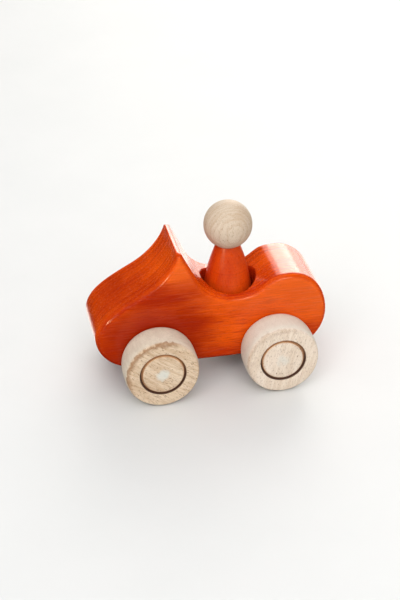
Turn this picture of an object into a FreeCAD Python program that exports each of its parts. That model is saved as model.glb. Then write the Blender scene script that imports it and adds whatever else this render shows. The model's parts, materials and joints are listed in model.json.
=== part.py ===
import FreeCAD, Part
import math
import os

# A wooden pull back car with a lift-out driver.
# Frame: +X to the nose, +Y to the left side, +Z up.
# The origin lies on the floor, under the middle of the car. All lengths are in millimetres.

# ---- driving dimensions ----
wheel_diameter = 40.0
wheel_width = 17.5
wheelbase = 65.0
nose_overhang = 32.3  # from the front axle to the nose

body_length = 126.0
body_width = 40.0
belly_height = 13.6
saddle_height = 50.7
hump_height = 60.8
crest_height = 80.2
edge_radius = 4.0  # the long sanded edges
crest_edge_radius = 1.2  # the same edges where the windshield is thin
crest_radius = 1.6

bore_radius = 14.9  # the driver's bore
bore_floor = 38.5
bore_rim_radius = 0.7
driver_height = 59.1
driver_base_radius = 14.2
driver_base_edge = 0.8
cone_points = [(12.6, 11.5), (10.2, 23.3)]  # radius and height above the base, where the cone swells a little
neck_radius = 6.4
head_radius = 13.0
dowel_radius = 3.0
dowel_length = 18.0

axle_radius = 1.5
running_gap = 0.05  # radial clearance of everything that turns on a pin
wheel_gap = 0.8  # between a wheel and the body's side
rear_clearance_radius = 2.2  # the hole in the wood round the rear axle, which runs in the motor's case
crown_drop = 1.6  # the tread falls by this much towards each face
crown_run = 5.8
counterbore_radius = 12.5
counterbore_depth = 5.0
counterbore_edge = 0.3
axle_chamfer = 0.3
cap_radius = 11.05
cap_dome = 0.4
cap_edge_radius = 0.6

gear_module = 0.5
pressure_angle = math.radians(25)
addendum = 0.38
dedendum = 0.58
backlash = 0.12
axle_pinion_teeth = 12
idler_wheel_teeth = 20
idler_pinion_teeth = 10
spring_gear_teeth = 32
idler_angle = 35.0  # direction from the rear axle to the idler, in degrees above +X

case_width = 22.0
case_wall = 1.2
case_height = 20.2

# ---- worked out from them ----
wheel_radius = wheel_diameter / 2
half_width = body_width / 2
nose_x = body_length / 2
tail_x = -body_length / 2
front_axle_x = nose_x - nose_overhang
rear_axle_x = front_axle_x - wheelbase
bore_x = front_axle_x - 43.1
driver_x = bore_x + 0.2
head_z = bore_floor + driver_height - head_radius
neck_z = head_z - math.sqrt(head_radius**2 - neck_radius**2)
dowel_bottom = head_z - head_radius - dowel_length / 2
dowel_top = dowel_bottom + dowel_length
wheel_inner_y = half_width + wheel_gap
wheel_outer_y = wheel_inner_y + wheel_width
counterbore_y = wheel_outer_y - counterbore_depth

idler_distance = gear_module * (axle_pinion_teeth + idler_wheel_teeth) / 2
idler_x = rear_axle_x + idler_distance * math.cos(math.radians(idler_angle))
idler_z = wheel_radius + idler_distance * math.sin(math.radians(idler_angle))
case_bottom = belly_height + 0.3
case_top = case_bottom + case_height
drum_z = (case_bottom + case_top) / 2
drum_distance = gear_module * (idler_pinion_teeth + spring_gear_teeth) / 2
drum_x = idler_x + math.sqrt(drum_distance**2 - (drum_z - idler_z) ** 2)
spring_gear_radius = gear_module * spring_gear_teeth / 2
case_front = drum_x + spring_gear_radius + 2.1
case_rear = rear_axle_x - 5.6
case_half = case_width / 2
case_inner_half = case_half - case_wall

# places across the motor, along Y
spring_gear_y = -9.2
gear_width = 2.6
drum_start_y = spring_gear_y + gear_width
drum_end_y = 3.2
idler_wheel_y = 4.4
axle_pinion_y = 4.0
axle_pinion_width = 3.4
drum_radius = 7.6
drum_bore_radius = 6.9
arbor_radius = 1.5
arbor_flat = 1.0  # from the arbor's axis to the flats at its ends
arbor_slot_depth = 2.1
idler_pin_radius = 0.75
idler_neck_radius = 2.0
idler_slot_travel = 1.4  # the idler floats up out of mesh when the car coasts
pin_end_y = case_half - 0.6  # the arbor and the idler's pin both end in blind holes
slot_half = 0.3
spring_thickness = 0.25
spring_pitch = 0.34
spring_turns = 8
spring_gap = 0.35  # from the middle of its outermost turn to the drum
spring_start = 0.55  # from the arbor to the middle of its innermost turn
spring_start_y = drum_start_y + 0.6
spring_end_y = drum_end_y - 0.4

screw_gap = 0.1  # radial clearance of the screws' heads and of the shanks that pass through
case_screw_radius = 0.85
case_screw_head_radius = 1.6
case_screw_head_height = 1.0
case_screw_recess = (0.9, 0.6)  # half the length of the cross, and its depth
case_screw_end_y = 8.5
case_boss_radius = 1.9
arbor_boss_radius = 2.8
axle_boss_radius = 3.0
axle_boss_height = 2.0
case_screw_places = [(case_front - 2.5, case_top - 2.4), (case_rear + 2.9, case_top - 2.9)]
ear_length = 6.6
ear_width = 8.0
ear_bottom = belly_height + 1.6
ear_top = ear_bottom + 1.8
ear_places = [(case_front + ear_length / 2, 5.0), (case_rear - ear_length / 2, -5.0)]
mount_screw_radius = 1.25
mount_screw_head = 2.3
mount_screw_sink = 1.05
mount_screw_recess = (1.3, 0.7)
mount_screw_length = 10.0
mount_screw_point = 2.0  # the length of its tip
pocket_clearance = 0.8
ear_clearance = 0.6
pocket_corner = 2.5
case_corner = 2.0
ear_corner = 1.6

Y = FreeCAD.Vector(0, 1, 0)
Z = FreeCAD.Vector(0, 0, 1)


# ---- helpers ----
def at(x, y, z):
    return FreeCAD.Vector(x, y, z)


def rod_y(x, z, radius, y0, y1):
    """A round rod along Y."""
    return Part.makeCylinder(radius, y1 - y0, at(x, y0, z), Y)


def rod_z(x, y, radius, z0, z1):
    """A round rod along Z."""
    return Part.makeCylinder(radius, z1 - z0, at(x, y, z0), Z)


def block(x0, x1, y0, y1, z0, z1):
    return Part.makeBox(x1 - x0, y1 - y0, z1 - z0, at(x0, y0, z0))


def spline(points, start=None, end=None):
    """A smooth curve in the XZ plane through points, with given directions at its ends."""
    curve = Part.BSplineCurve()
    vectors = [flat(point) for point in points]
    if start is None:
        curve.interpolate(vectors)
    else:
        curve.interpolate(Points=vectors, InitialTangent=flat(start), FinalTangent=flat(end))
    return curve


def flat(point):
    """The point (x, z) of the XZ plane."""
    return at(point[0], 0, point[1])


def straight(first, last):
    """A straight edge in the XZ plane."""
    return Part.LineSegment(flat(first), flat(last)).toShape()


def arc(first, middle, last):
    return Part.Arc(flat(first), flat(middle), flat(last)).toShape()


def round_arc(centre_x, centre_z, radius, start_deg, end_deg):
    """An arc in the XZ plane, by its centre and its angles above +X."""
    ends = []
    for angle in (start_deg, (start_deg + end_deg) / 2, end_deg):
        turn = math.radians(angle)
        ends.append((centre_x + radius * math.cos(turn), centre_z + radius * math.sin(turn)))
    return arc(*ends)


def slab(edges, y0, y1):
    """A closed outline of edges in the XZ plane, thickened from y0 to y1."""
    face = Part.Face(Part.Wire(Part.__sortEdges__(edges)))
    face.translate(at(0, y0, 0))
    return face.extrude(at(0, y1 - y0, 0))


def turned(profile, x, z):
    """A body turned about the Y axis through (x, z), from a closed profile of edges in the XY plane."""
    face = Part.Face(Part.Wire(Part.__sortEdges__(profile)))
    solid = face.revolve(at(0, 0, 0), Y, 360)
    solid.translate(at(x, 0, z))
    return solid


def line(p, q):
    return Part.LineSegment(at(p[0], p[1], 0), at(q[0], q[1], 0)).toShape()


def mirrored(solid):
    return solid.mirror(at(0, 0, 0), Y)


def split_curve(curve, point):
    """The curve as two edges that meet smoothly at the given point on it."""
    middle = curve.parameter(flat(point))
    return curve.toShape(curve.FirstParameter, middle), curve.toShape(middle, curve.LastParameter)


# ---- car body ----
def body_outline():
    """The side outline's edges, each with the rounding radius at its first and last end."""
    nose_radius = 20.0
    nose_z = belly_height + nose_radius
    tail_radius = 22.4
    tail_z = belly_height + tail_radius
    hump_x = tail_x + 20.2

    crest_x = front_axle_x - 12.9
    crest_z = crest_height - crest_radius
    front_turn = 12.7
    back_turn = 157.5
    crest = round_arc(crest_x, crest_z, crest_radius, front_turn, back_turn)
    ends = []
    for turn in (front_turn, back_turn):
        angle = math.radians(turn)
        ends.append((crest_x + crest_radius * math.cos(angle), crest_z + crest_radius * math.sin(angle)))

    windshield_foot = (front_axle_x + 2.6, 60.6)
    hood_points = [
        (nose_x, nose_z),
        (nose_x - 2.5, nose_z + 7.4),
        (nose_x - 11.5, nose_z + 16.0),
        (nose_x - 20.5, nose_z + 21.5),
        windshield_foot,
        (front_axle_x - 5.1, 67.7),
        (front_axle_x - 9.6, 74.4),
        ends[0],
    ]
    front_direction = (-math.sin(math.radians(front_turn)), math.cos(math.radians(front_turn)))
    hood_curve = spline(hood_points, (0, 1), front_direction)

    back_foot = (front_axle_x - 25.5, 58.2)
    seat_points = [
        ends[1],
        (front_axle_x - 20.4, 67.2),
        back_foot,
        (front_axle_x - 33.6, 52.6),
        (front_axle_x - 44.0, saddle_height),
        (front_axle_x - 56.3, 53.9),
        (front_axle_x - 65.0, 59.7),
        (hump_x, hump_height),
    ]
    back_direction = (-math.sin(math.radians(180 - back_turn)), -math.cos(math.radians(180 - back_turn)))
    seat_curve = spline(seat_points, back_direction, (-1, 0))

    hump = Part.Ellipse(at(hump_x, 0, hump_height), at(tail_x, 0, tail_z), at(hump_x, 0, tail_z))
    belly = straight((tail_x + tail_radius, belly_height), (nose_x - nose_radius, belly_height))
    hood, windshield_front = split_curve(hood_curve, windshield_foot)
    windshield_back, seat = split_curve(seat_curve, back_foot)
    return [
        (round_arc(nose_x - nose_radius, nose_z, nose_radius, -90, 0), edge_radius, edge_radius),
        (hood, edge_radius, edge_radius),
        (windshield_front, edge_radius, crest_edge_radius),
        (crest, crest_edge_radius, crest_edge_radius),
        (windshield_back, crest_edge_radius, edge_radius),
        (seat, edge_radius, edge_radius),
        (quarter(hump, (hump_x, hump_height), (tail_x, tail_z)), edge_radius, edge_radius),
        (round_arc(tail_x + tail_radius, tail_z, tail_radius, 180, 270), edge_radius, edge_radius),
        (belly, edge_radius, edge_radius),
    ]


def quarter(ellipse, first, last):
    """The shorter piece of an ellipse between two points on it."""
    start = ellipse.parameter(flat(first))
    end = ellipse.parameter(flat(last))
    if (end - start) % (2 * math.pi) > math.pi:
        start, end = end, start
    return Part.ArcOfEllipse(ellipse, start, end).toShape()


def rounded_board(outline):
    """The board, with both of its side outlines rounded over."""
    board = slab([edge for edge, first, last in outline], -half_width, half_width)
    document = FreeCAD.newDocument()
    blank = document.addObject("Part::Feature", "blank")
    blank.Shape = board
    rounding = []
    for number, edge in enumerate(board.Edges, 1):
        middle = edge.valueAt((edge.FirstParameter + edge.LastParameter) / 2)
        if abs(abs(middle.y) - half_width) > 0.01:
            continue
        start = edge.valueAt(edge.FirstParameter)
        for piece, first, last in outline:
            moved = at(middle.x, 0, middle.z)
            if piece.distToShape(Part.Vertex(moved))[0] < 0.01:
                piece_start = piece.valueAt(piece.FirstParameter)
                same_way = (at(start.x, 0, start.z) - piece_start).Length < 0.01
                rounding.append((number, first, last) if same_way else (number, last, first))
                break
    rounded = document.addObject("Part::Fillet", "rounded")
    rounded.Base = blank
    rounded.Edges = rounding
    document.recompute()
    return rounded.Shape.copy()


def car_body():
    """The board with everything that is bored, milled and drilled in it."""
    solid = rounded_board(body_outline())
    solid = solid.cut(rod_z(bore_x, 0, bore_radius, bore_floor, bore_floor + 30))
    rim = []
    for edge in solid.Edges:
        radii = [math.hypot(edge.valueAt(u).x - bore_x, edge.valueAt(u).y) for u in edge.ParameterRange]
        above = edge.BoundBox.ZMin > bore_floor + 1
        if above and edge.Length > 5 and all(abs(r - bore_radius) < 0.01 for r in radii):
            rim.append(edge)
    solid = solid.makeFillet(bore_rim_radius, rim)

    side = half_width + 1
    solid = solid.cut(rod_y(front_axle_x, wheel_radius, axle_radius + running_gap, -side, side))
    solid = solid.cut(rod_y(rear_axle_x, wheel_radius, rear_clearance_radius, -side, side))
    pocket = rounded_block(
        (case_rear - pocket_clearance, case_front + pocket_clearance),
        (-case_half - pocket_clearance, case_half + pocket_clearance),
        (0, case_top + 0.3),
        "z",
        pocket_corner,
    )
    solid = solid.cut(pocket)
    for x, y in ear_places:
        along = (x - ear_length / 2 - ear_clearance, x + ear_length / 2 + ear_clearance)
        across = (y - ear_width / 2 - ear_clearance, y + ear_width / 2 + ear_clearance)
        solid = solid.cut(rounded_block(along, across, (0, ear_top), "z", pocket_corner))
    for x, y in ear_places:
        solid = solid.cut(rod_z(x, y, mount_screw_radius, ear_top - 1, ear_bottom + mount_screw_length))
    return solid


# ---- driver ----
def driver_ball():
    return Part.makeSphere(head_radius, at(driver_x, 0, head_z))


def neck_rod(z0, z1):
    return rod_z(driver_x, 0, dowel_radius, z0, z1)


def driver_body():
    """A turned cone, a little fuller than straight, dished at the top for the head."""
    foot = (driver_base_radius - driver_base_edge, bore_floor)
    shoulder = (driver_base_radius, bore_floor + driver_base_edge)
    swell = [(radius, bore_floor + height) for radius, height in cone_points]
    neck = (neck_radius, neck_z)
    edges = [
        straight((0, bore_floor), foot),
        straight(foot, shoulder),
        spline([shoulder, *swell, neck]).toShape(),
        straight(neck, (0, neck_z)),
        straight((0, neck_z), (0, bore_floor)),
    ]
    solid = Part.Face(Part.Wire(edges)).revolve(at(0, 0, 0), Z, 360)
    solid.translate(at(driver_x, 0, 0))
    solid = solid.cut(driver_ball())
    return solid.cut(neck_rod(dowel_bottom - 0.5, head_z))


def driver_head():
    return driver_ball().cut(neck_rod(bore_floor, dowel_top + 0.5))


def driver_neck_dowel():
    rod = neck_rod(dowel_bottom, dowel_top)
    rims = [edge for edge in rod.Edges if isinstance(edge.Curve, Part.Circle)]
    return rod.makeChamfer(0.5, rims)


# ---- wheels and axles ----
def wheel_left(x):
    """A turned wheel: a crowned tread, a through bore for the axle and a wide counterbore outside."""
    crown_edge = wheel_radius - crown_drop
    y0 = wheel_inner_y
    y1 = wheel_outer_y
    profile = [
        line((axle_radius, y0), (crown_edge, y0)),
        crown_arc(y0 + crown_run, y0),
        line((wheel_radius, y0 + crown_run), (wheel_radius, y1 - crown_run)),
        crown_arc(y1 - crown_run, y1),
        line((crown_edge, y1), (counterbore_radius, y1)),
        line((counterbore_radius, y1), (counterbore_radius, counterbore_y)),
        line((counterbore_radius, counterbore_y), (axle_radius, counterbore_y)),
        line((axle_radius, counterbore_y), (axle_radius, y0)),
    ]
    solid = turned(profile, x, wheel_radius)
    return solid.makeFillet(counterbore_edge, ring_edges(solid, counterbore_radius, (y1,)))


def crown_arc(y_full, y_face):
    """A quarter of an ellipse, from the full tread radius to the smaller radius at the wheel's face."""
    centre = at(wheel_radius - crown_drop, y_full, 0)
    full = at(wheel_radius, y_full, 0)
    face = at(wheel_radius - crown_drop, y_face, 0)
    ellipse = Part.Ellipse(face, full, centre)
    start = ellipse.parameter(face)
    end = ellipse.parameter(full)
    if (end - start) % (2 * math.pi) > math.pi:
        start, end = end, start
    return Part.ArcOfEllipse(ellipse, start, end).toShape()


def ring_edges(solid, radius, places_y):
    """The circular edges of that radius about Y, at any of those places."""
    found = []
    for edge in solid.Edges:
        if edge.Degenerated:
            continue
        if isinstance(edge.Curve, Part.Circle) and abs(edge.Curve.Radius - radius) < 0.01:
            if any(abs(edge.Curve.Center.y - y) < 0.01 for y in places_y):
                found.append(edge)
    return found


def hub_cap_left(x):
    """A slightly domed disc, glued to the floor of the counterbore."""
    shoulder = wheel_outer_y - cap_dome
    dome = Part.Arc(
        at(cap_radius, shoulder, 0),
        at(cap_radius / 2, wheel_outer_y - cap_dome / 4, 0),
        at(0, wheel_outer_y, 0),
    )
    profile = [
        line((0, counterbore_y), (cap_radius, counterbore_y)),
        line((cap_radius, counterbore_y), (cap_radius, shoulder)),
        dome.toShape(),
        line((0, wheel_outer_y), (0, counterbore_y)),
    ]
    solid = turned(profile, x, wheel_radius)
    return solid.makeFillet(cap_edge_radius, ring_edges(solid, cap_radius, (shoulder,)))


def axle(x):
    """A steel rod with chamfered ends, pressed into both wheels."""
    end = counterbore_y - 0.4
    rod = rod_y(x, wheel_radius, axle_radius, -end, end)
    return rod.makeChamfer(axle_chamfer, ring_edges(rod, axle_radius, (-end, end)))


# ---- gears ----
def gear(teeth, x, z, tooth_direction, y0, width):
    """A spur gear's blank with involute teeth; one tooth points in tooth_direction, in degrees above +X."""
    pitch = gear_module * teeth / 2
    tip = pitch + addendum
    root = pitch - dedendum
    base = pitch * math.cos(pressure_angle)
    start = max(root, base)
    half_at_pitch = math.pi / 2 / teeth - backlash / 4 / pitch

    def half_tooth(radius):
        angle = math.acos(min(1.0, base / radius))
        return half_at_pitch + involute(pressure_angle) - involute(angle)

    def point(radius, angle):
        return at(x + radius * math.cos(angle), 0, z + radius * math.sin(angle))

    edges = []
    step = 2 * math.pi / teeth
    middle = (start + tip) / 2
    for tooth in range(teeth):
        centre = math.radians(tooth_direction) + tooth * step
        low = half_tooth(start)
        top = half_tooth(tip)
        flank = half_tooth(middle)
        if root < start:
            edges.append(Part.LineSegment(point(root, centre - low), point(start, centre - low)).toShape())
        rise = (point(start, centre - low), point(middle, centre - flank), point(tip, centre - top))
        fall = (point(tip, centre + top), point(middle, centre + flank), point(start, centre + low))
        edges.append(Part.Arc(*rise).toShape())
        edges.append(Part.Arc(rise[2], point(tip, centre), fall[0]).toShape())
        edges.append(Part.Arc(*fall).toShape())
        if root < start:
            edges.append(Part.LineSegment(fall[2], point(root, centre + low)).toShape())
        valley = (point(root, centre + low), point(root, centre + step / 2), point(root, centre + step - low))
        edges.append(Part.Arc(*valley).toShape())
    return slab(edges, y0, y0 + width)


def involute(angle):
    return math.tan(angle) - angle


def axle_pinion():
    place = (rear_axle_x, wheel_radius)
    solid = gear(axle_pinion_teeth, *place, idler_angle, axle_pinion_y, axle_pinion_width)
    return solid.cut(rod_y(rear_axle_x, wheel_radius, axle_radius, -case_half, case_half))


def idler_gear():
    """A wheel that meshes with the axle pinion, and a pinion that meshes with the spring gear."""
    gap_to_axle = idler_angle + 180 + 180 / idler_wheel_teeth
    to_drum = math.degrees(math.atan2(drum_z - idler_z, drum_x - idler_x))
    solid = gear(idler_wheel_teeth, idler_x, idler_z, gap_to_axle, idler_wheel_y, gear_width)
    solid = solid.fuse(rod_y(idler_x, idler_z, idler_neck_radius, drum_start_y, idler_wheel_y))
    solid = solid.fuse(gear(idler_pinion_teeth, idler_x, idler_z, to_drum, spring_gear_y, gear_width))
    solid = solid.cut(rod_y(idler_x, idler_z, idler_pin_radius + running_gap, -case_half, case_half))
    return solid.removeSplitter()


def idler_pin():
    return rod_y(idler_x, idler_z, idler_pin_radius, -pin_end_y, pin_end_y)


def spring_gear():
    """A gear with a drum moulded on it, open on the left, which holds the mainspring."""
    to_idler = math.degrees(math.atan2(idler_z - drum_z, idler_x - drum_x))
    tooth_direction = to_idler + 180 / spring_gear_teeth
    solid = gear(spring_gear_teeth, drum_x, drum_z, tooth_direction, spring_gear_y, gear_width)
    drum = rod_y(drum_x, drum_z, drum_radius, drum_start_y, drum_end_y)
    solid = solid.fuse(drum)
    solid = solid.cut(rod_y(drum_x, drum_z, drum_bore_radius, drum_start_y, drum_end_y + 1))
    solid = solid.cut(rod_y(drum_x, drum_z, arbor_radius + running_gap, -case_half, case_half))
    return solid.removeSplitter()


def spring_arbor():
    """A fixed pin across the case, with flats at its ends and a slot for the mainspring's inner end."""
    rod = rod_y(drum_x, drum_z, arbor_radius, -pin_end_y, pin_end_y)
    for y0, y1 in ((-case_half, -case_inner_half), (case_inner_half, case_half)):
        rod = rod.cut(arbor_key(y0, y1))
    along = (drum_x - arbor_radius, drum_x + arbor_slot_depth - arbor_radius)
    slot = block(*along, drum_start_y + 0.4, drum_end_y, drum_z - slot_half, drum_z + slot_half)
    return rod.cut(slot)


def arbor_key(y0, y1):
    """What the flat takes off the arbor."""
    return block(drum_x - 3, drum_x + 3, y0, y1, drum_z + arbor_flat, drum_z + 3)


def mainspring():
    """A flat spiral, run down: a few open turns round the arbor, the rest packed against the drum."""
    outer = drum_bore_radius - spring_gap
    inner = arbor_radius + spring_start
    packed = spring_pitch * spring_turns
    loose = outer - inner - packed

    def radius(turn):
        left = 1 - turn / spring_turns
        return outer - packed * left - loose * left**4

    edges = []
    ends = []
    for shift in (-spring_thickness / 2, spring_thickness / 2):
        points = []
        for number in range(spring_turns * 12 + 1):
            angle = math.pi + number * math.pi / 6
            reach = radius(number / 12) + shift
            points.append((drum_x + reach * math.cos(angle), drum_z + reach * math.sin(angle)))
        edges.append(spline(points).toShape())
        ends.append((points[0], points[-1]))
    (inside_start, inside_end), (outside_start, outside_end) = ends
    edges.append(straight(inside_end, outside_end))
    edges.append(straight(inside_start, outside_start))
    band = slab(edges, spring_start_y, spring_end_y)
    half = spring_thickness / 2
    along = (inside_start[0] - 0.05, drum_x - 0.2)
    hook = block(*along, spring_start_y, spring_end_y, drum_z - half, drum_z + half)
    return band.fuse(hook).removeSplitter()


# ---- motor case ----
def rounded_block(along, across, up, axis, radius):
    """A box over the ranges in X, Y and Z, with the edges that run along one axis rounded."""
    solid = block(along[0], along[1], across[0], across[1], up[0], up[1])
    index = "xyz".index(axis)
    chosen = []
    for edge in solid.Edges:
        start = edge.Vertexes[0].Point
        end = edge.Vertexes[1].Point
        if abs(start[index] - end[index]) > 0.01:
            chosen.append(edge)
    return solid.makeFillet(radius, chosen)


def case_tray(side):
    """Half of the case as an open tray with its bosses; side is 1 for the left and -1 for the right."""
    outer = rounded_block((case_rear, case_front), (0, case_half), (case_bottom, case_top), "y", case_corner)
    inner = rounded_block(
        (case_rear + case_wall, case_front - case_wall),
        (-1, case_inner_half),
        (case_bottom + case_wall, case_top - case_wall),
        "y",
        case_corner - case_wall,
    )
    tray = outer.cut(inner)
    arbor_boss_height = 1.2 if side > 0 else 0.4
    wall = case_inner_half + 0.1
    tray = tray.fuse(rod_y(drum_x, drum_z, arbor_boss_radius, case_inner_half - arbor_boss_height, wall))
    axle_boss_start = case_inner_half - axle_boss_height
    tray = tray.fuse(rod_y(rear_axle_x, wheel_radius, axle_boss_radius, axle_boss_start, wall))
    for x, z in case_screw_places:
        tray = tray.fuse(rod_y(x, z, case_boss_radius, 0, wall))
    tray = tray.cut(rod_y(rear_axle_x, wheel_radius, axle_radius + running_gap, 0, case_half + 1))
    arbor_hole = rod_y(drum_x, drum_z, arbor_radius, 0, pin_end_y)
    tray = tray.cut(arbor_hole.cut(arbor_key(case_inner_half, case_half)))
    slot_radius = idler_pin_radius + running_gap
    slot_end = idler_z + idler_slot_travel
    tray = tray.cut(rod_y(idler_x, idler_z, slot_radius, 0, pin_end_y))
    tray = tray.cut(rod_y(idler_x, slot_end, slot_radius, 0, pin_end_y))
    tray = tray.cut(block(idler_x - slot_radius, idler_x + slot_radius, 0, pin_end_y, idler_z, slot_end))
    return tray if side > 0 else mirrored(tray)


def ear(x, y):
    """A flange with a countersunk hole, which a wood screw holds to the belly."""
    reach = ear_length / 2
    root = case_wall if x > drum_x else -case_wall
    outward = math.copysign(reach, root)
    along = sorted((x - outward - root, x + outward))
    across = (y - ear_width / 2, y + ear_width / 2)
    plate = rounded_block(along, across, (ear_bottom, ear_top), "z", ear_corner)
    hole_radius = mount_screw_radius + screw_gap
    plate = plate.cut(rod_z(x, y, hole_radius, ear_bottom - 1, ear_top + 1))
    sink_radius = mount_screw_head + screw_gap
    return plate.cut(Part.makeCone(sink_radius, hole_radius, mount_screw_sink, at(x, y, ear_bottom)))


def motor_case_left():
    tray = case_tray(1).fuse(ear(*ear_places[0]))
    for x, z in case_screw_places:
        tray = tray.cut(rod_y(x, z, case_screw_radius, -1, case_screw_end_y))
    return tray.removeSplitter()


def motor_case_right():
    tray = case_tray(-1).fuse(ear(*ear_places[1]))
    seat = -case_half + case_screw_head_height
    for x, z in case_screw_places:
        tray = tray.cut(rod_y(x, z, case_screw_radius + screw_gap, -case_half - 1, 1))
        tray = tray.cut(rod_y(x, z, case_screw_head_radius + screw_gap, -case_half - 1, seat))
    return tray.removeSplitter()


def cross_recess(x, y, z, recess, along):
    """Two crossed slots in a screw's head, cut from (x, y, z) along Y or Z."""
    size, depth = recess
    thin = size / 5
    slots = []
    for first, second in ((size, thin), (thin, size)):
        if along == "y":
            slots.append(block(x - first, x + first, y, y + depth, z - second, z + second))
        else:
            slots.append(block(x - first, x + first, y - second, y + second, z, z + depth))
    return slots[0].fuse(slots[1])


def motor_case_screws():
    """Two screws that go in from the right and hold the halves together."""
    screws = []
    seat = -case_half + case_screw_head_height
    for x, z in case_screw_places:
        screw = rod_y(x, z, case_screw_head_radius, -case_half, seat)
        screw = screw.fuse(rod_y(x, z, case_screw_radius, seat, case_screw_end_y))
        recess = cross_recess(x, -case_half, z, case_screw_recess, "y")
        screws.append(screw.cut(recess).removeSplitter())
    return Part.makeCompound(screws)


def motor_mount_screws():
    """Two countersunk wood screws, driven up into the belly."""
    screws = []
    for x, y in ear_places:
        shank = ear_bottom + mount_screw_sink
        shank_end = ear_bottom + mount_screw_length - mount_screw_point
        screw = Part.makeCone(mount_screw_head, mount_screw_radius, mount_screw_sink, at(x, y, ear_bottom))
        screw = screw.fuse(rod_z(x, y, mount_screw_radius, shank, shank_end))
        screw = screw.fuse(Part.makeCone(mount_screw_radius, 0.2, mount_screw_point, at(x, y, shank_end)))
        recess = cross_recess(x, y, ear_bottom, mount_screw_recess, "z")
        screws.append(screw.cut(recess).removeSplitter())
    return Part.makeCompound(screws)


# ---- the whole car ----
def all_nodes():
    nodes = {
        "car_body": car_body(),
        "driver_body": driver_body(),
        "driver_head": driver_head(),
        "driver_neck_dowel": driver_neck_dowel(),
        "motor_case_left": motor_case_left(),
        "motor_case_right": motor_case_right(),
        "motor_case_screws": motor_case_screws(),
        "motor_mount_screws": motor_mount_screws(),
        "axle_pinion": axle_pinion(),
        "idler_gear": idler_gear(),
        "idler_pin": idler_pin(),
        "spring_gear": spring_gear(),
        "spring_arbor": spring_arbor(),
        "mainspring": mainspring(),
    }
    for end, x in (("front", front_axle_x), ("rear", rear_axle_x)):
        nodes[end + "_axle"] = axle(x)
        for part, solid in (("wheel", wheel_left(x)), ("hub_cap", hub_cap_left(x))):
            nodes[f"{end}_{part}_left"] = solid
            nodes[f"{end}_{part}_right"] = mirrored(solid)
    return nodes


os.makedirs("parts", exist_ok=True)
for node, shape in all_nodes().items():
    if not shape.isValid():
        raise ValueError(f"{node} is not a valid solid")
    shape.exportStep(f"parts/{node}.step")
    print(f"{node}: {len(shape.Solids)} solid(s), {shape.Volume:.1f} mm3")
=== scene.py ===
import json
import math

import bpy
import numpy as np
from mathutils import Matrix, Vector


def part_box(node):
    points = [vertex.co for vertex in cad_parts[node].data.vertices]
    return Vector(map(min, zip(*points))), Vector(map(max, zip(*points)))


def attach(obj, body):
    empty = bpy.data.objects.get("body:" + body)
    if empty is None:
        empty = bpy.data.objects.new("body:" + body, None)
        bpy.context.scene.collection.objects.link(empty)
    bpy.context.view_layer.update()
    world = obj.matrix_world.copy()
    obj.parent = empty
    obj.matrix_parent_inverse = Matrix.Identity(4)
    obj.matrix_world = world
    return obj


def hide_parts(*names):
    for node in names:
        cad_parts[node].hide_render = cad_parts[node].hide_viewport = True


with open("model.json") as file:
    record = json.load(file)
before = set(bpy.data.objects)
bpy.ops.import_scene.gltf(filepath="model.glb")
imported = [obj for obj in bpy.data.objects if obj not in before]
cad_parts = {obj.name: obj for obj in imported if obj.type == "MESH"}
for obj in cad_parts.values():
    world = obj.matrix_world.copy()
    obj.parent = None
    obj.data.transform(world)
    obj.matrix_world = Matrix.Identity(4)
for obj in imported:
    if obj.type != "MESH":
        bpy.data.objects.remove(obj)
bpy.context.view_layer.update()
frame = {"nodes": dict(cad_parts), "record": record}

# A wooden pull back car with a lift-out driver. Lengths are in millimetres until a mesh is made.
MM = 0.001


def box(node):
    """Lowest and highest corner of a CAD node, in millimetres."""
    low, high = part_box(node)
    return np.array(low) / MM, np.array(high) / MM


def middle(node):
    """Centre of a CAD node's box, in millimetres."""
    low, high = box(node)
    return (low + high) / 2


# ---- sizes from the frame ----
body_low, body_high = box("car_body")
half_width = body_high[1]
nose_x = body_high[0]
tail_x = body_low[0]
belly_z = body_low[2]
crest_z = body_high[2]
front_x = middle("front_axle")[0]
rear_x = middle("rear_axle")[0]
axle_z = middle("front_axle")[2]
wheel_low, wheel_high = box("front_wheel_left")
wheel_radius = (wheel_high[2] - wheel_low[2]) / 2
cap_low, cap_high = box("front_hub_cap_left")
cap_radius = (cap_high[2] - cap_low[2]) / 2
doll_x = middle("driver_head")[0]
head_z = middle("driver_head")[2]
doll_low, doll_high = box("driver_body")

# ---- sizes of its own ----
edge_radius = 4.0
nose_radius = 20.0
tail_radius = 22.4
hump_x = tail_x + 20.2
hump_z = 60.8
saddle_z = 50.7
bore_radius = 14.9
bore_x = front_x - 43.1
bore_z = doll_low[2]
rim_radius = 0.9
crest_x = front_x - 12.9
crest_radius = 1.6
crest_corner = 6.5  # the crest's ends are sanded rounder than the other edges
crest_edge = 0.5
facet_turn = math.radians(112)  # the crest is sanded flat, leaning back
facet_depth = 0.55
facet_reach = 10.0  # the sanded flat ends this far behind the crest
facet_edge = 0.35
front_axle_bore = 1.55
rear_axle_bore = 2.2
drilled_edge = 0.3
milled_edge = 0.4
pocket_corner = 2.5
case_gap = 0.8  # between the motor case and its pocket
headroom = 0.3
ear_gap = 0.6
ear_top = 17.0
ear_half_width = 4.6
ear_y = 5.0
foot_edge = 0.8
neck_radius = 6.4
swell = [(12.6, 11.5), (10.2, 23.3)]  # radius and height above the foot, where the cone swells a little

tread_drop = 1.6  # the tread falls by this much towards each face
tread_run = 5.8
wheel_bore = 1.5
recess_radius = 12.5
recess_edge = 0.3
ledge_depth = 1.4  # a narrow ledge runs round the cap's hole
ledge_radius = cap_radius + 0.1
ledge_edge = 0.1
cap_dome = 0.4
cap_edge = 0.6
cap_edge_height = 0.55
cap_shift = {"front": -0.15, "rear": 0.1}  # no cap sits quite in the middle of its hole

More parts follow.
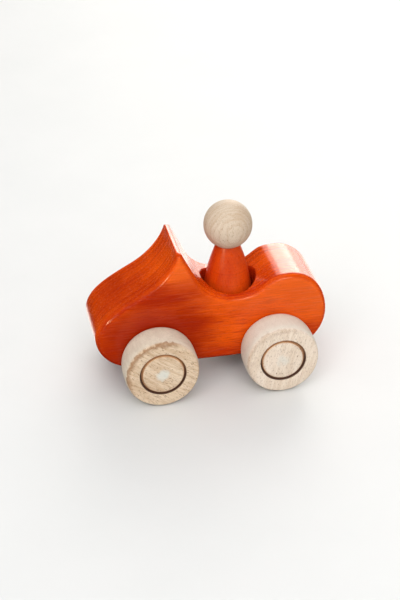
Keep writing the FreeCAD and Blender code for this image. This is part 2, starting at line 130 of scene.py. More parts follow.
# ---- the wood's figure: length along the grain and width across it ----
swirl_size = (50, 14)
fibre_size = (11, 0.5)
fleck_size = (1.7, 0.3)
lustre_size = (13, 0.7)


# ---- body ----
def clamped_spline(points, start, end, steps):
    """Points along a smooth curve through the given ones, with given directions at both ends."""
    p = np.array(points, float)
    t = np.concatenate([[0], np.cumsum(np.hypot(*np.diff(p, axis=0).T))])
    h = np.diff(t)
    n = len(p)
    matrix = np.zeros((n, n))
    side = np.zeros((n, 2))
    matrix[0, 0] = matrix[-1, -1] = 1
    side[0] = np.array(start) / np.hypot(*start)
    side[-1] = np.array(end) / np.hypot(*end)
    for i in range(1, n - 1):
        matrix[i, i - 1] = h[i]
        matrix[i, i] = 2 * (h[i - 1] + h[i])
        matrix[i, i + 1] = h[i - 1]
        side[i] = 3 * (h[i] * (p[i] - p[i - 1]) / h[i - 1] + h[i - 1] * (p[i + 1] - p[i]) / h[i])
    slope = np.linalg.solve(matrix, side)
    curve = []
    for i in range(n - 1):
        for u in np.linspace(0, 1, steps, endpoint=False):
            a = (1 + 2 * u) * (1 - u) ** 2
            b = u * (1 - u) ** 2 * h[i]
            c = u * u * (3 - 2 * u)
            d = u * u * (u - 1) * h[i]
            curve.append(a * p[i] + b * slope[i] + c * p[i + 1] + d * slope[i + 1])
    return curve


def arc(x, z, rx, rz, start, end, steps):
    """Points on a part of an ellipse, in degrees from start up to, but not including, end."""
    turns = np.radians(np.linspace(start, end, steps, endpoint=False))
    return [np.array([x + rx * math.cos(a), z + rz * math.sin(a)]) for a in turns]


def body_outline():
    """The board's outline in the XZ plane: a dense closed polyline that starts at the belly's front end."""
    nose_z = belly_z + nose_radius
    tail_z = belly_z + tail_radius
    crest = np.array([crest_x, crest_z - crest_radius])
    front_turn = 12.7
    back_turn = 157.5
    ends = []
    for turn in np.radians([front_turn, back_turn]):
        ends.append(crest + crest_radius * np.array([math.cos(turn), math.sin(turn)]))
    hood = [
        (nose_x, nose_z),
        (nose_x - 2.5, nose_z + 7.4),
        (nose_x - 11.5, nose_z + 16.0),
        (nose_x - 20.5, nose_z + 21.5),
        (front_x + 2.6, 60.6),
        (front_x - 5.1, 67.7),
        (front_x - 9.6, 74.4),
        ends[0],
    ]
    seat = [
        ends[1],
        (front_x - 20.4, 67.2),
        (front_x - 25.5, 58.2),
        (front_x - 33.6, 52.6),
        (front_x - 44.0, saddle_z),
        (front_x - 56.3, 53.9),
        (front_x - 65.0, 59.7),
        (hump_x, hump_z),
    ]
    up = (-math.sin(math.radians(front_turn)), math.cos(math.radians(front_turn)))
    down = (-math.sin(math.radians(180 - back_turn)), -math.cos(math.radians(180 - back_turn)))
    return np.array(
        arc(nose_x - nose_radius, nose_z, nose_radius, nose_radius, -90, 0, 60)
        + clamped_spline(hood, (0, 1), up, 30)
        + arc(*crest, crest_radius, crest_radius, front_turn, back_turn, 30)
        + clamped_spline(seat, down, (-1, 0), 30)
        + arc(hump_x, tail_z, hump_x - tail_x, hump_z - tail_z, 90, 180, 60)
        + arc(tail_x + tail_radius, tail_z, tail_radius, tail_radius, 180, 270, 60)
    )


def distance_to_outline(xs, zs, outline):
    """Signed distance from each point of a grid in the XZ plane to the outline, negative inside."""
    px, pz = [a.ravel() for a in np.meshgrid(xs, zs, indexing="ij")]
    best = np.full(px.shape, 1e9)
    crossings = np.zeros(px.shape, int)
    for a, b in zip(outline, np.roll(outline, -1, axis=0)):
        ab = b - a
        along = ((px - a[0]) * ab[0] + (pz - a[1]) * ab[1]) / (ab @ ab)
        along = np.clip(along, 0, 1)
        best = np.minimum(best, np.hypot(px - a[0] - along * ab[0], pz - a[1] - along * ab[1]))
        if a[1] != b[1]:
            spans = (a[1] <= pz) != (b[1] <= pz)
            crossings += spans & (px < a[0] + (pz - a[1]) / (b[1] - a[1]) * ab[0])
    return np.where(crossings % 2 == 1, -best, best).reshape(len(xs), len(zs))


def both(a, b, radius):
    """The distance field of where a and b overlap, with the edge between them rounded."""
    u = a + radius
    v = b + radius
    return np.minimum(np.maximum(u, v), 0) + np.hypot(np.maximum(u, 0), np.maximum(v, 0)) - radius


def upright_block(x, y, centre, half, corner):
    """The distance field of an endless upright block with rounded corners."""
    return both(np.abs(x - centre[0]) - half[0], np.abs(y - centre[1]) - half[1], corner)


def belly_pockets():
    """Centre, half size and top of what is milled for the motor case and its two ears."""
    left_low, left_high = box("motor_case_left")
    right_low, right_high = box("motor_case_right")

    def pocket(start, end, y, half_y, gap, top):
        return ((start + end) / 2, y), ((end - start) / 2 + gap, half_y), top

    return [
        pocket(left_low[0], right_high[0], 0, left_high[1] + case_gap, case_gap, left_high[2] + headroom),
        pocket(right_high[0], left_high[0], ear_y, ear_half_width, ear_gap, ear_top),
        pocket(right_low[0], left_low[0], -ear_y, ear_half_width, ear_gap, ear_top),
    ]


def body_field(x, y, z, outline_distance):
    """Signed distance to the car body: the rounded board, less all that is bored and milled in it."""
    board = both(outline_distance, np.abs(y) - half_width, edge_radius)
    board = both(board, both(z - crest_z, np.abs(y) - half_width, crest_corner), crest_edge)
    facet = (x - crest_x) * math.cos(facet_turn) + (z - crest_z) * math.sin(facet_turn) + facet_depth
    board = both(board, np.where(x > crest_x - facet_reach, facet, -5), facet_edge)
    bore = np.maximum(np.hypot(x - bore_x, y) - bore_radius, bore_z - z)
    solid = both(board, -bore, rim_radius)
    for centre, half, top in belly_pockets():
        pocket = np.maximum(upright_block(x, y, centre, half, pocket_corner), z - top)
        solid = both(solid, -pocket, milled_edge)
    for axle_x, radius in ((front_x, front_axle_bore), (rear_x, rear_axle_bore)):
        solid = both(solid, radius - np.hypot(x - axle_x, z - axle_z), drilled_edge)
    return solid


def grid_reader(values, xs, zs):
    """Reads a grid of values in the XZ plane between its points."""
    step = xs[1] - xs[0]

    def read(x, z):
        u = np.clip((x - xs[0]) / step, 0, len(xs) - 1.001)
        v = np.clip((z - zs[0]) / step, 0, len(zs) - 1.001)
        i = u.astype(int)
        k = v.astype(int)
        u = u - i
        v = v - k
        return (
            values[i, k] * (1 - u) * (1 - v)
            + values[i + 1, k] * u * (1 - v)
            + values[i, k + 1] * (1 - u) * v
            + values[i + 1, k + 1] * u * v
        )

    return read


def net(values, xs, ys, zs):
    """A closed net of quads over the zero level of a grid of values, one vertex per cell that it crosses."""
    inside = values < 0
    corner = [(i, j, k) for i in (0, 1) for j in (0, 1) for k in (0, 1)]
    size = np.array(values.shape) - 1
    count = np.zeros(tuple(size), int)
    for i, j, k in corner:
        count += inside[i : i + size[0], j : j + size[1], k : k + size[2]]
    cells = np.argwhere((count > 0) & (count < 8))
    number = np.full(tuple(size), -1)
    number[tuple(cells.T)] = np.arange(len(cells))
    total = np.zeros((len(cells), 3))
    hits = np.zeros(len(cells))
    for axis in range(3):
        for c in corner:
            if c[axis]:
                continue
            a = cells + c
            b = a.copy()
            b[:, axis] += 1
            va = values[tuple(a.T)]
            vb = values[tuple(b.T)]
            cut = (va < 0) != (vb < 0)
            share = np.where(cut, va / np.where(cut, va - vb, 1), 0)
            place = np.array(c, float) + np.zeros((len(cells), 3))
            place[:, axis] += share
            total[cut] += place[cut]
            hits[cut] += 1
    step = xs[1] - xs[0]
    points = np.array([xs[0], ys[0], zs[0]]) + (cells + total / hits[:, None]) * step
    quads = []
    for axis in range(3):
        near = [slice(None)] * 3
        far = [slice(None)] * 3
        near[axis] = slice(0, -1)
        far[axis] = slice(1, None)
        found = np.argwhere(inside[tuple(near)] != inside[tuple(far)])
        outward = inside[tuple(near)][tuple(found.T)]
        first, second = (axis + 1) % 3, (axis + 2) % 3
        ring = []
        for a, b in ((-1, -1), (0, -1), (0, 0), (-1, 0)):
            cell = found.copy()
            cell[:, first] += a
            cell[:, second] += b
            ring.append(number[tuple(cell.T)])
        ring = np.array(ring).T
        quads.append(np.where(outward[:, None], ring, ring[:, ::-1]))
    return points, np.concatenate(quads)


def car_body():
    """The board as one closed net, with its vertices moved onto the exact surface."""
    step = 0.5
    margin = 1.5
    xs = np.arange(tail_x - margin, nose_x + margin, step)
    ys = np.arange(-half_width - margin, half_width + margin + step, step)
    zs = np.arange(belly_z - margin, crest_z + margin, step)
    flat = distance_to_outline(xs, zs, body_outline())
    read = grid_reader(flat, xs, zs)
    values = body_field(xs[:, None, None], ys[None, :, None], zs[None, None, :], flat[:, None, :])
    points, quads = net(values, xs, ys, zs)

    def field(p):
        return body_field(p[:, 0], p[:, 1], p[:, 2], read(p[:, 0], p[:, 2]))

    def slope(p, reach):
        shifts = [np.array(s) * reach for s in ((1, 0, 0), (0, 1, 0), (0, 0, 1))]
        return np.array([field(p + s) - field(p - s) for s in shifts]).T / (2 * reach)

    for _ in range(4):
        g = slope(points, 0.1)
        move = field(points) / np.maximum((g * g).sum(1), 0.3)
        points = points - np.clip(move, -0.3, 0.3)[:, None] * g
    normals = slope(points, 0.25)
    normals /= np.linalg.norm(normals, axis=1)[:, None]
    return new_piece("body_board", points, quads, normals)


def new_piece(name, points, faces, normals=None, sharp_above=35):
    """A mesh object from points in millimetres."""
    mesh = bpy.data.meshes.new(name)
    if isinstance(faces, np.ndarray):
        faces = faces.tolist()
    mesh.from_pydata((np.asarray(points) * MM).tolist(), [], faces)
    mesh.shade_smooth()
    if normals is not None:
        mesh.normals_split_custom_set_from_vertices(normals.tolist())
    else:
        mesh.set_sharp_from_angle(angle=math.radians(sharp_above))
    piece = bpy.data.objects.new(name, mesh)
    bpy.context.scene.collection.objects.link(piece)
    return piece


# ---- turned pieces ----
def rounded(corners):
    """An outline in (radius, height) with some corners rounded; a corner is (radius, height, rounding)."""
    n = len(corners)
    line = []
    for i, (r, h, rounding) in enumerate(corners):
        here = np.array([r, h], float)
        if rounding == 0:
            line.append(here)
            continue
        before = np.array(corners[i - 1][:2], float) - here
        after = np.array(corners[(i + 1) % n][:2], float) - here
        before /= np.hypot(*before)
        after /= np.hypot(*after)
        half = math.acos(np.clip(before @ after, -1, 1)) / 2
        centre = here + (before + after) / np.hypot(*(before + after)) * rounding / math.sin(half)
        a = here + before * rounding / math.tan(half) - centre
        b = here + after * rounding / math.tan(half) - centre
        turn = math.atan2(a[0] * b[1] - a[1] * b[0], a @ b)
        steps = max(2, int(abs(turn) / math.radians(15)) + 1)
        for s in np.linspace(0, turn, steps + 1):
            turned = np.array([[math.cos(s), -math.sin(s)], [math.sin(s), math.cos(s)]]) @ a
            line.append(centre + turned)
    return line


def lathe(name, line, place, axis, segments=144, closed=False):
    """A body turned about an axis through place. Its line is closed, or starts and ends on the axis."""
    points = []
    faces = []
    rings = []
    for r, h in line:
        if r < 1e-6:
            rings.append([len(points)] * segments)
            points.append((0, 0, h))
            continue
        rings.append(list(range(len(points), len(points) + segments)))
        for s in range(segments):
            turn = 2 * math.pi * s / segments
            points.append((r * math.cos(turn), r * math.sin(turn), h))
    pairs = list(zip(rings, rings[1:] + rings[:1])) if closed else list(zip(rings, rings[1:]))
    for low, high in pairs:
        for s in range(segments):
            t = (s + 1) % segments
            face = list(dict.fromkeys([low[s], low[t], high[t], high[s]]))
            if len(face) > 2:
                faces.append(face)
    points = np.array(points, float)
    if axis == "y":
        points = points[:, [1, 2, 0]]
    elif axis == "-y":
        points = points[:, [0, 2, 1]] * [1, -1, 1]
    points += place
    return new_piece(name, points, faces)


def ellipse_quarter(centre_r, centre_h, reach_r, reach_h, start, end, steps=14):
    """Points (radius, height) on a part of an ellipse, in degrees from start to end."""
    turns = np.radians(np.linspace(start, end, steps + 1))
    return [(centre_r + reach_r * math.cos(a), centre_h + reach_h * math.sin(a)) for a in turns]


def wheel(name, x, side):
    """A wheel with a crowned tread, a bore for the axle and a wide counterbore for its cap."""
    inner = wheel_low[1]
    outer = wheel_high[1]
    face = wheel_radius - tread_drop
    floor = cap_low[1]
    line = [(wheel_bore, floor), (wheel_bore, inner)]
    line += ellipse_quarter(face, inner + tread_run, tread_drop, tread_run, -90, 0)
    line += [(wheel_radius, inner + tread_run + 2), (wheel_radius, outer - tread_run - 2)]
    line += ellipse_quarter(face, outer - tread_run, tread_drop, tread_run, 0, 90)
    hole = [
        (face - 0.5, outer, 0),
        (recess_radius, outer, recess_edge),
        (recess_radius, outer - ledge_depth, recess_edge),
        (ledge_radius, outer - ledge_depth, ledge_edge),
        (ledge_radius, floor, ledge_edge),
        (wheel_bore + 1, floor, 0),
    ]
    line += rounded(hole)[1:-1]
    return lathe(name, line, (x, 0, axle_z), "y" if side > 0 else "-y", closed=True)


def hub_cap(name, x, side):
    """A slightly domed disc that lies in the counterbore."""
    low = cap_low[1]
    high = cap_high[1]
    shoulder = high - cap_dome - cap_edge
    line = [(0, low), (cap_radius, low), (cap_radius, shoulder)]
    line += ellipse_quarter(cap_radius - cap_edge, shoulder, cap_edge, cap_edge_height, 0, 75, 5)[1:]
    for share in np.linspace(0.9, 0, 10):
        line.append((cap_radius * share, high - cap_dome * share**2))
    return lathe(name, line, (x, 0, axle_z), "y" if side > 0 else "-y", segments=96)


def driver():
    """The turned cone and the ball on it."""
    foot = doll_low[2]
    base = (doll_high[0] - doll_low[0]) / 2
    head_radius = (box("driver_head")[1][0] - box("driver_head")[0][0]) / 2
    neck_z = head_z - math.sqrt(head_radius**2 - neck_radius**2)
    side = [(base, foot + foot_edge)]
    side += [(radius, foot + height) for radius, height in swell]
    side += [(neck_radius, neck_z)]
    line = [(0.0, foot), (base - foot_edge, foot), (base - 0.25, foot + 0.25)]
    line += [tuple(point) for point in clamped_spline(side, (-0.13, 1), (-0.36, 1), 16)]
    line.append((neck_radius - 0.12, neck_z))
    hollow_radius = head_radius + 0.03
    for share in np.linspace(0.9, 0, 8):
        radius = neck_radius * share
        line.append((radius, head_z - math.sqrt(hollow_radius**2 - radius**2)))
    cone = lathe("driver_cone", line, (doll_x, 0, 0), "z")
    ball_line = []
    for turn in np.radians(np.linspace(-90, 90, 73)):
        ball_line.append((head_radius * math.cos(turn), head_z + head_radius * math.sin(turn)))
    ball = lathe("driver_ball", ball_line, (doll_x, 0, 0), "z")
    return cone, ball


# ---- materials ----
class Shader:
    """Builds one material's nodes."""

    def __init__(self, name):
        self.material = bpy.data.materials.new(name)
        self.material.use_nodes = True
        self.tree = self.material.node_tree
        self.surface = self.tree.nodes["Principled BSDF"]
        self.plain = self.tree.nodes.new("ShaderNodeTexCoord").outputs["Object"]
        self.coordinates = self.plain

    def node(self, kind, inputs, output=0, **settings):
        made = self.tree.nodes.new("ShaderNode" + kind)
        for key, value in settings.items():
            setattr(made, key, value)
        for key, value in inputs.items():
            self.feed(made.inputs[key], value)
        return made.outputs[output]

    def feed(self, socket, value):
        if isinstance(value, bpy.types.NodeSocket):
            self.tree.links.new(value, socket)
        else:
            socket.default_value = value

    def math(self, operation, *values):
        return self.node("Math", dict(enumerate(values)), operation=operation)

    def plus(self, a, b):
        return self.math("ADD", a, b)

    def minus(self, a, b):
        return self.math("SUBTRACT", a, b)

    def times(self, a, b):
        return self.math("MULTIPLY", a, b)

    def times_plus(self, a, b, c):
        return self.math("MULTIPLY_ADD", a, b, c)

    def squares(self, a, b):
        return self.plus(self.times(a, a), self.times(b, b))

    def in_millimetres(self):
        """The object's own coordinates as three values."""
        parts = self.tree.nodes.new("ShaderNodeSeparateXYZ")
        self.tree.links.new(self.plain, parts.inputs[0])
        return [self.math("DIVIDE", parts.outputs[i], MM) for i in range(3)]

    def stretched(self, scale, turn=(0, 0, 0), shift=(0, 0, 0), source=None):
        """Coordinates in millimetres, divided by the size of a detail along each axis."""
        return self.node(
            "Mapping",
            {
                "Vector": source or self.coordinates,
                "Location": shift,
                "Rotation": tuple(math.radians(a) for a in turn),
                "Scale": tuple(1 / (s * MM) for s in scale),
            },
        )

    def noise(self, vector, detail=3.0, roughness=0.55, distortion=0.0):
        inputs = {"Vector": vector, "Scale": 1.0, "Detail": detail, "Roughness": roughness}
        return self.node("TexNoise", {**inputs, "Distortion": distortion})

    def remap(self, value, low, high, to_low=0.0, to_high=1.0):
        return self.node(
            "MapRange",
            {"Value": value, "From Min": low, "From Max": high, "To Min": to_low, "To Max": to_high},
            interpolation_type="SMOOTHSTEP",
        )

    def mix(self, share, a, b, blend="MIX"):
        made = self.tree.nodes.new("ShaderNodeMix")
        made.data_type = "RGBA"
        made.blend_type = blend
        for socket, value in ((made.inputs[0], share), (made.inputs[6], a), (made.inputs[7], b)):
            self.feed(socket, value)
        return made.outputs[2]

    def bump(self, height, distance, strength=1.0):
        return self.node("Bump", {"Height": height, "Distance": distance * MM, "Strength": strength})


def colour(*levels):
    """A linear colour from the usual 0 to 255 levels of red, green and blue."""
    shares = [level / 255 for level in levels]
    return tuple(((v + 0.055) / 1.055) ** 2.4 if v > 0.04 else v / 12.92 for v in shares) + (1.0,)


def darker(base, share):
    return tuple(c * share for c in base[:3]) + (1.0,)


def wood(name, along, layers, tones, fleck_share, specular, rough, spread=0.06, seed=0, turn=0, marks=None):
    """Beech: soft growth bands, fine fibres along the grain and short dark flecks.

    The tones are those of the pale layers, of the dark layers and of the flecks.
    """
    s = Shader(name)
    if turn:
        angle = math.radians(turn)
        s.coordinates = s.node("VectorRotate", {"Vector": s.plain, "Angle": angle}, rotation_type="Y_AXIS")
    pale, dark, fleck = tones
    shift = (seed * 3.1, seed * 1.7, seed * 2.3)

    def figure(size, detail, roughness=0.55):
        length, across = size
        scale = [across] * 3
        scale["xyz".index(along)] = length
        return s.noise(s.stretched(scale, shift=shift), detail, roughness)

    swirls = s.remap(figure(swirl_size, 2), 0.3, 0.7)
    bands = s.noise(s.stretched(layers, turn=(3, 1.5, 1), shift=shift), detail=2, distortion=0.3)
    bands = s.remap(bands, 0.35, 0.65)
    fibres = figure(fibre_size, 4, 0.6)
    tone = s.times_plus(bands, 0.5, s.times(s.remap(fibres, 0.3, 0.7), 0.35))
    tone = s.times_plus(swirls, 0.25, tone)
    pores = s.times(s.remap(figure(fleck_size, 1), 0.6, 0.7), fleck_share)
    paint = s.mix(pores, s.mix(tone, pale, dark), fleck)
    if marks:
        paint = marks(s, paint)
    s.feed(s.surface.inputs["Base Color"], paint)
    lustre = s.remap(figure(lustre_size, 3, 0.6), 0.38, 0.62, rough - spread, rough + spread)
    s.feed(s.surface.inputs["Roughness"], lustre)
    s.surface.inputs["Specular IOR Level"].default_value = specular
    height = s.minus(s.times(fibres, 0.7), s.times(pores, 0.5))
    s.feed(s.surface.inputs["Normal"], s.bump(height, 0.05, 0.5))
    return s.material


def board_marks(s, paint):
    """Streaks on the board's sides, painted light high up towards the tail, painted shade round the front
    wheel and painted shade inside the bore.
    """
    along, across, upward = s.in_millimetres()
    on_side = s.remap(s.math("ABSOLUTE", across), half_width - 1.5, half_width - 0.2)
    streaks = s.noise(s.stretched((9, 6, 0.6), shift=(3, 1, 2)), detail=2, distortion=0.2)
    share = s.times(s.remap(streaks, 0.52, 0.72), s.times(on_side, 0.55))
    paint = s.mix(share, paint, colour(150, 26, 2))
    drift = s.minus(s.noise(s.stretched((30, 30, 12), shift=(1, 5, 3)), detail=2), 0.5)
    # Painted light: the sides grow lighter high up and towards the tail.
    high = s.times_plus(s.minus(front_x, along), 0.35, s.times_plus(drift, 20, upward))
    share = s.times(s.remap(high, 50, 78, 0, 0.5), on_side)
    paint = s.mix(share, paint, colour(244, 112, 42))
    # Painted shade: the sides grow darker round the top of the front wheel.
    aside = s.minus(along, front_x + 2)
    above = s.minus(upward, axle_z + 8)
    away = s.times_plus(drift, 30, s.math("POWER", s.squares(aside, above), 0.5))
    paint = s.mix(s.remap(away, 42, 18, 0, 0.75), paint, colour(146, 22, 2))
    # Painted shade: the inside of the bore is darker red.
    off_bore = s.squares(s.minus(along, bore_x), across)
    share = s.remap(off_bore, (bore_radius + 0.7) ** 2, (bore_radius + 0.1) ** 2, 0, 0.5)
    share = s.times(share, s.remap(upward, bore_z - 1, bore_z + 1))
    return s.mix(share, paint, colour(165, 8, 5))


def wheel_marks(x, spot, layer_share, pale_tread):
    """What a turned wheel shows besides its fibres: a cut growth layer, a groove that darkens with depth and
    holds painted shade, and a pale hub.
    """

    def paint_marks(s, paint):
        along, across, height = s.in_millimetres()
        aside = s.minus(along, x)
        upward = s.minus(height, axle_z)
        radius = s.math("POWER", s.squares(aside, upward), 0.5)
        depth = s.minus(wheel_high[1], s.math("ABSOLUTE", across))
        ripple = s.noise(s.stretched((2.8, 9, 2.8)), detail=1)
        paint = s.mix(s.remap(depth, 0.4, 2.2, 0, pale_tread), paint, colour(214, 210, 198))
        line = s.times(growth_line(s, radius, depth, ripple), growth_side(s, aside, upward, layer_share))
        paint = s.mix(line, paint, colour(142, 96, 58))
        recess = wheel_high[1] - cap_low[1]
        outside = s.remap(depth, recess + 1, recess + 0.5)
        near_groove = s.remap(radius, cap_radius - 0.7, cap_radius - 0.4)
        near_groove = s.times(near_groove, s.remap(radius, recess_radius + 0.3, recess_radius + 0.1))
        # The groove darkens with depth; on the hole's wall this is painted shade, darkest low down.
        groove_darkening = s.times(s.times(near_groove, outside), s.remap(depth, 0.25, 1.0, 0, 0.95))
        paint = s.mix(groove_darkening, paint, groove_tone_and_shade(s, radius, upward))
        hub = s.remap(s.times_plus(ripple, 5, radius), 7.2, 3.6, 0, spot)
        return s.mix(s.times(hub, outside), paint, colour(214, 216, 208))

    return paint_marks


def growth_line(s, radius, depth, ripple):
    """A thin layer that comes out where the crown is about a millimetre down, in a ragged line."""
    level = s.math("MINIMUM", s.minus(radius, wheel_radius - tread_drop), 0.0)
    level = s.times_plus(depth, 0.9, level)
    level = s.times_plus(s.minus(ripple, 0.5), 4.5, level)
    return s.times(s.remap(level, -2.6, 0.5), s.remap(level, 1.3, 0.6))


def growth_side(s, aside, upward, share):
    """The layer shows only on one side of the wheel."""
    return s.remap(s.plus(s.times(aside, 0.75), s.times(upward, 0.75)), 2, 12, 0, share)


def groove_tone_and_shade(s, radius, upward):
    """The cap's wall is light brown. The hole's wall is dark brown with painted shade: darkest low down,
    lighter higher up.
    """
    # Painted shade on the hole's wall: darker low down, lighter higher up.
    hole_wall_shade = s.mix(s.remap(upward, -2, 9), colour(66, 30, 12), colour(140, 94, 58))
    wall = s.remap(radius, cap_radius + 0.15, cap_radius + 0.5)
    return s.mix(wall, colour(205, 152, 106), hole_wall_shade)


def ball_rings(s, paint):
    """Growth layers that the ball cuts into rings about the point that faces the car's left."""
    across = s.in_millimetres()[1]
    waver = s.noise(s.stretched((9, 9, 14)), detail=2)
    share = s.math("FRACT", s.times_plus(across, 0.6, s.times(waver, 3.0)))
    line = s.times(s.remap(share, 0.25, 0.9), s.remap(share, 1.0, 0.92))
    return s.mix(s.times(line, 0.24), paint, colour(176, 136, 104))


def turning_lines(s, paint):
    """Hairlines that the lathe left round the cone."""
    rings = s.noise(s.stretched((400, 400, 0.9), source=s.plain), detail=2)
    return s.mix(s.remap(rings, 0.45, 0.7, 0, 0.45), paint, colour(176, 44, 6))


def metal(name, base, rough):
    """Metal with fine lines along Y and faint spots."""
    s = Shader(name)
    lines = s.noise(s.stretched((0.12, 6, 0.12)), detail=3)
    spots = s.remap(s.noise(s.stretched((2, 2, 2)), detail=3), 0.3, 0.8)
    s.feed(s.surface.inputs["Base Color"], s.mix(spots, base, darker(base, 0.7)))
    s.surface.inputs["Metallic"].default_value = 1
    s.feed(s.surface.inputs["Roughness"], s.remap(lines, 0.2, 0.8, rough, rough + 0.15))
    s.feed(s.surface.inputs["Normal"], s.bump(lines, 0.02, 0.4))
    return s.material


def plastic(name, base, rough, grain):
    """Moulded plastic with a fine texture of the given size."""
    s = Shader(name)
    texture = s.noise(s.stretched((grain, grain, grain)), detail=2)
    tint = s.remap(s.noise(s.stretched((8, 8, 8)), detail=2), 0.3, 0.7)
    s.feed(s.surface.inputs["Base Color"], s.mix(tint, base, darker(base, 0.85)))
    s.feed(s.surface.inputs["Roughness"], s.remap(texture, 0.3, 0.7, rough - 0.08, rough + 0.08))
    s.feed(s.surface.inputs["Normal"], s.bump(texture, 0.03, 0.5))
    return s.material


def place(piece, body, slot, material, *nodes):
    piece.data.materials.clear()
    piece.data.materials.append(material)
    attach(piece, body)
    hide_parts(*nodes)


board_tones = (colour(240, 94, 8), colour(182, 42, 3), colour(132, 20, 2))
cone_tones = (colour(222, 80, 10), colour(194, 56, 6), colour(150, 26, 2))
ball_tones = (colour(212, 196, 176), colour(194, 170, 144), colour(128, 92, 66))
front_tones = (colour(228, 208, 182), colour(194, 164, 132), colour(120, 78, 50))
rear_tones = (colour(236, 222, 206), colour(216, 196, 174), colour(124, 82, 54))
front_marks = wheel_marks(front_x, spot=0.8, layer_share=0.7, pale_tread=0.5)
rear_marks = wheel_marks(rear_x, spot=0.45, layer_share=0.25, pale_tread=0.6)
varnished = {"fleck_share": 0.4, "specular": 0.25, "rough": 0.2, "spread": 0.1}
waxed = {"fleck_share": 0.35, "specular": 0.25, "rough": 0.33}
bare = {"specular": 0.15, "rough": 0.55}

stained = wood("stained_beech_x", "x", (60, 1.5, 22), board_tones, marks=board_marks, **varnished)
stained_up = wood("stained_beech_z", "z", (14, 4, 60), cone_tones, seed=4, marks=turning_lines, **waxed)
beech = wood("beech_z", "z", (12, 5, 45), ball_tones, 0.6, seed=2, marks=ball_rings, **bare)
wheel_woods = {
    "front": wood(
        "beech_front", "x", (14, 4, 1.5), front_tones, 0.8, seed=7, turn=34, marks=front_marks, **bare
    ),
    "rear": wood(
        "beech_rear", "x", (14, 4, 1.7), rear_tones, 0.7, seed=9, turn=-76, marks=rear_marks, **bare
    ),
}

place(car_body(), "chassis", "stained_beech", stained, "car_body")
cone, ball = driver()
place(cone, "driver", "stained_beech", stained_up, "driver_body")
place(ball, "driver", "natural_beech", beech, "driver_head")
for end, x in (("front", front_x), ("rear", rear_x)):
    for side, sign in (("left", 1), ("right", -1)):
        body = end + "_wheelset"
        disc = wheel(f"{end}_{side}_wheel", x, sign)
        place(disc, body, "natural_beech", wheel_woods[end], f"{end}_wheel_{side}")
        cap = hub_cap(f"{end}_{side}_cap", x + cap_shift[end], sign)
        place(cap, body, "natural_beech", wheel_woods[end], f"{end}_hub_cap_{side}")

finishes = {
    "steel": metal("bright_steel", colour(200, 200, 203), 0.25),
    "zinc_plated_steel": metal("zinc", colour(205, 208, 214), 0.3),
    "spring_steel": metal("blued_strip", colour(120, 125, 135), 0.3),
    "case_plastic": plastic("black_case", colour(34, 34, 36), 0.5, 0.25),
    "gear_plastic": plastic("acetal", colour(232, 230, 222), 0.4, 0.4),
    "natural_beech": beech,
}
slots = {part["node"]: part["material_slot"] for part in frame["record"]["subparts"]}
for name, node in frame["nodes"].items():
    if slots[name] in finishes and not node.hide_render:
        node.data.materials.clear()
        node.data.materials.append(finishes[slots[name]])
        node.data.shade_smooth()
        node.data.set_sharp_from_angle(angle=math.radians(30))

# ---- floor, light and camera ----
floor_reach = 4  # in metres
floor_corners = [(x * floor_reach, y * floor_reach, 0) for x, y in ((-1, -1), (1, -1), (1, 1), (-1, 1))]
floor_mesh = bpy.data.meshes.new("floor")
floor_mesh.from_pydata(floor_corners, [], [(0, 1, 2, 3)])
floor = bpy.data.objects.new("floor", floor_mesh)
bpy.context.scene.collection.objects.link(floor)
pale_floor = Shader("pale_floor")
cloud = pale_floor.noise(pale_floor.stretched((70, 70, 70)), detail=3)
floor_paint = pale_floor.mix(cloud, colour(212, 213, 212), colour(219, 219, 218))
pale_floor.feed(pale_floor.surface.inputs["Base Color"], floor_paint)
pale_floor.surface.inputs["Roughness"].default_value = 0.6
pale_floor.surface.inputs["Specular IOR Level"].default_value = 0.2
floor_mesh.materials.append(pale_floor.material)
floor.visible_glossy = False

scene = bpy.context.scene
world = bpy.data.worlds.new("room")
world.use_nodes = True
world.node_tree.nodes["Background"].inputs["Color"].default_value = (1, 1, 1, 1)
world.node_tree.nodes["Background"].inputs["Strength"].default_value = 0.66
world.cycles_visibility.glossy = False
scene.world = world
scene.view_settings.view_transform = "Standard"


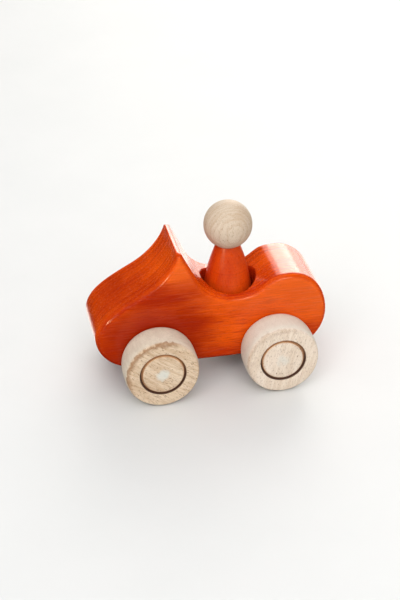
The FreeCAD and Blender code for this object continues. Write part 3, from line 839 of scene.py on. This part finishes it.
def lamp(name, place, aim, width, height, power, lights=True, shines=True, tint=(1, 0.96, 0.88)):
    """A soft box. It may be left out of the diffuse light or of the reflections, which are a little warm."""
    light = bpy.data.lights.new(name, "AREA")
    light.shape = "RECTANGLE"
    light.size = width
    light.size_y = height
    light.energy = power
    if not lights:
        light.color = tint
    made = bpy.data.objects.new(name, light)
    made.location = place
    made.rotation_euler = (Vector(aim) - Vector(place)).to_track_quat("-Z", "Y").to_euler()
    made.visible_diffuse = lights
    made.visible_glossy = shines
    made.visible_camera = False
    scene.collection.objects.link(made)


# A wide window stands behind the car, a little towards its tail. Its light is set apart from its shine.
lamp("window", (-1.3, -3.3, 1.7), (0, 0, 0.04), 2.8, 3.0, 58, shines=False)
lamp("window_sky", (-1.47, -3.31, 1.69), (0, 0, 0.04), 3.5, 4.6, 200, lights=False)
lamp("window_glow", (-1.4, -3.15, 1.83), (0, 0, 0.04), 1.9, 1.9, 95, lights=False)
lamp("window_foot", (-0.93, -3.06, -1.42), (0, 0, 0.04), 4.7, 2.3, 64, lights=False)
lamp("ceiling", (0.1, 0.3, 1.8), (0, 0, 0), 1.5, 1.5, 4.5, shines=False)
lamp("front_wall", (0.4, 1.3, 1.3), (0, 0, 0.04), 2.0, 0.9, 21, shines=False)
lamp("front_strip", (-0.08, 1.0, 1.0), (0, 0, 0.05), 0.6, 0.1, 7, lights=False, tint=(1, 0.7, 0.4))
lamp("nose_strip", (1.0, 1.0, 0.46), (0, 0, 0.05), 0.3, 0.06, 7, lights=False, tint=(1, 0.7, 0.4))

# The camera stands on the car's left, a little ahead of it, and looks down.
turn = math.radians(12.173)
tilt = math.radians(30.817)
back = Vector((math.sin(turn) * math.cos(tilt), math.cos(turn) * math.cos(tilt), math.sin(tilt)))
right = (-back).cross(Vector((0, 0, 1))).normalized()
up = back.cross(right)
camera_data = bpy.data.cameras.new("camera")
camera_data.lens = 90
camera_data.sensor_width = 36
camera = bpy.data.objects.new("camera", camera_data)
front_foot = Vector((front_x, wheel_high[1], 0)) * MM  # under the front left wheel's outer face
foot_from_camera = Vector((-19.15, 56.49, 795.32)) * MM  # to the right, down and ahead
camera.location = front_foot - Matrix((right, -up, -back)).transposed() @ foot_from_camera
camera.matrix_world = Matrix.Translation(camera.location) @ Matrix((right, up, back)).transposed().to_4x4()
scene.collection.objects.link(camera)
scene.camera = camera
